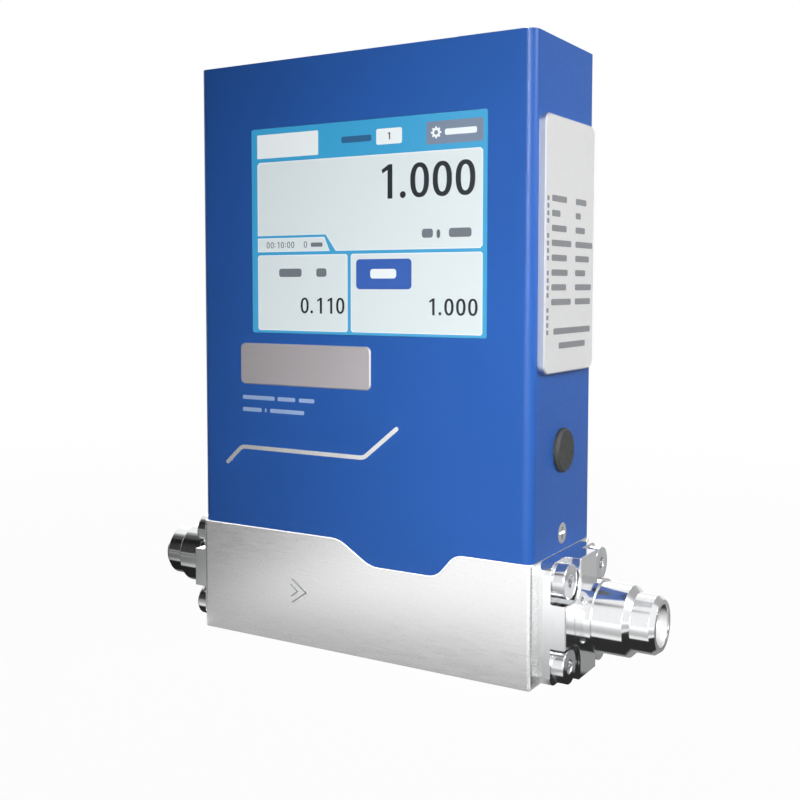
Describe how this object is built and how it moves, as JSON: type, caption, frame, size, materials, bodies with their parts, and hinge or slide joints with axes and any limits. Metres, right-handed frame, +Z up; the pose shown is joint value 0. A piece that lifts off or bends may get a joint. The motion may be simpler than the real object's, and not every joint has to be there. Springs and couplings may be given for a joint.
{
  "type": "mass flow controller",
  "caption": "Thermal mass flow controller: steel valve block with face-seal gas fittings at both ends and a tall blue cover with a touch display and a roof connector.",
  "frame": {"origin": "centre of the steel block's bottom face", "axes": "+X along the gas flow from the inlet to the outlet, +Z up towards the roof connector, the display faces -Y"},
  "size_m": [0.1516, 0.0386, 0.161],
  "materials": {
    "block_steel": "satin, brushed along the flow",
    "polished_steel": "polished, electropolished stainless steel",
    "screw_steel": "bright stainless steel",
    "cover_paint": "satin blue coat",
    "display_glass": "glossy lit touch screen",
    "display_panel": "matte dark",
    "circuit_board": "solder mask green",
    "badge_metal": "satin with a bright edge",
    "trim_metal": "satin silver",
    "label_plastic": "pale grey",
    "rubber_black": "matte black",
    "seal_nickel": "nickel",
    "sintered_steel": "porous, matte",
    "sheet_steel": "zinc plated",
    "sensor_aluminium": "satin",
    "copper_wire": "enamelled copper",
    "bobbin_plastic": "black moulded",
    "magnetic_steel": "ground",
    "seat_polymer": "cream polymer",
    "spring_steel": "rolled",
    "cable_film": "amber film",
    "connector_metal": "tinned",
    "connector_plastic": "black moulded",
    "pin_gold": "gold plated"
  },
  "bodies": {
    "housing": {"access_plug": "rubber_black", "badge_plate": "badge_metal", "base_block": "block_steel", "board_nuts": "screw_steel", "board_studs": "sheet_steel", "bonnet_screws": "screw_steel", "bonnet_seal": "seal_nickel", "chassis": "sheet_steel", "chassis_screws": "screw_steel", "coil_bobbin": "bobbin_plastic", "coil_leads": "cable_film", "coil_nut": "screw_steel", "coil_winding": "copper_wire", "coil_yoke": "sheet_steel", "connector_board": "circuit_board", "connector_cable": "cable_film", "connector_insert": "connector_plastic", "connector_jacks": "connector_metal", "connector_pins": "pin_gold", "connector_shell": "connector_metal", "cover": "cover_paint", "cover_screws": "screw_steel", "display_board": "circuit_board", "display_cable": "cable_film", "display_glass": "display_glass", "display_nuts": "screw_steel", "display_panel": "display_panel", "display_studs": "sheet_steel", "flange_screws": "screw_steel", "flat_spring": "spring_steel", "inlet_filter": "sintered_steel", "inlet_fitting": "polished_steel", "inlet_flange": "polished_steel", "label_plate": "label_plastic", "laminar_bypass": "block_steel", "main_board": "circuit_board", "outlet_fitting": "polished_steel", "outlet_flange": "polished_steel", "pole_piece": "magnetic_steel", "port_seals": "seal_nickel", "sensor_base": "block_steel", "sensor_cable": "cable_film", "sensor_coils": "copper_wire", "sensor_housing": "sensor_aluminium", "sensor_screws": "screw_steel", "sensor_seals": "seal_nickel", "sensor_tube": "spring_steel", "spring_spacer": "block_steel", "trim_strip": "trim_metal", "valve_bonnet": "block_steel", "valve_seat": "block_steel"},
    "valve_plunger": {"plunger": "magnetic_steel", "plunger_seal": "seat_polymer", "plunger_nut": "screw_steel"}
  },
  "joints": [
    {"name": "plunger_lift", "type": "slide", "parent": "housing", "child": "valve_plunger", "axis": [0, 0, 1], "range_m": [0, 0.00035], "stiffness_N_per_m": 2000, "springref_m": -0.0008, "deforming": ["flat_spring"]}
  ]
}
